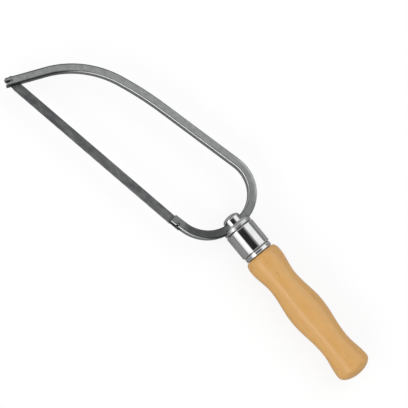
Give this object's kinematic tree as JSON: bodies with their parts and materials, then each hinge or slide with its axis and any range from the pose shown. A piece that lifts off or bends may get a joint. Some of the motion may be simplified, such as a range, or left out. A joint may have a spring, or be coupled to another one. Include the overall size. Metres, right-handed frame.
{
  "type": "mini hacksaw",
  "caption": "Small hacksaw with a bent square-bar bow, a thin pin-ended toothed blade and a turned wooden handle that screws down to clamp the bow.",
  "frame": {"origin": "under the middle of the saw's box, on the surface that the saw lies on", "axes": "+X along the blade from the front tip towards the handle, +Y from the teeth towards the back of the bow, +Z square to the saw plane"},
  "size_m": [0.3024, 0.07, 0.0253],
  "materials": {
    "bow_plating": "satin bright plating on drawn square steel bar",
    "blade_steel": "dark hardened strip steel, mottled",
    "pin_steel": "plain steel wire",
    "bright_chrome": "mirror chrome plating on turned steel",
    "insert_brass": "turned brass, hidden",
    "grip_wood": "clear lacquer over turned light hardwood"
  },
  "bodies": {
    "bow_frame": {"frame_bow": "bow_plating", "clamp_bolt": "bright_chrome"},
    "blade": {"saw_blade": "blade_steel", "front_blade_pin": "pin_steel", "rear_blade_pin": "pin_steel"},
    "saddle": {"saddle_ring": "bright_chrome"},
    "handle": {"ferrule": "bright_chrome", "threaded_insert": "insert_brass", "handle_grip": "grip_wood"}
  },
  "joints": [
    {"name": "blade_swing", "type": "hinge", "parent": "bow_frame", "child": "blade", "pos_m": [-0.14698, -0.0276, 0.01265], "axis": [0, 0, -1], "range_deg": [0, 40]},
    {"name": "saddle_slide", "type": "slide", "parent": "bow_frame", "child": "saddle", "axis": [0.9836, -0.1805, 0], "range_m": [0, 0.003]},
    {"name": "handle_turn", "type": "hinge", "parent": "saddle", "child": "handle", "pos_m": [0.02529, -0.00118, 0.01265], "axis": [0.9836, -0.1805, 0], "range_deg": [0, 1080]}
  ],
  "couplings": [
    {"joint": "handle_turn", "follows": "saddle_slide", "rad_per_m": 6283.2}
  ]
}
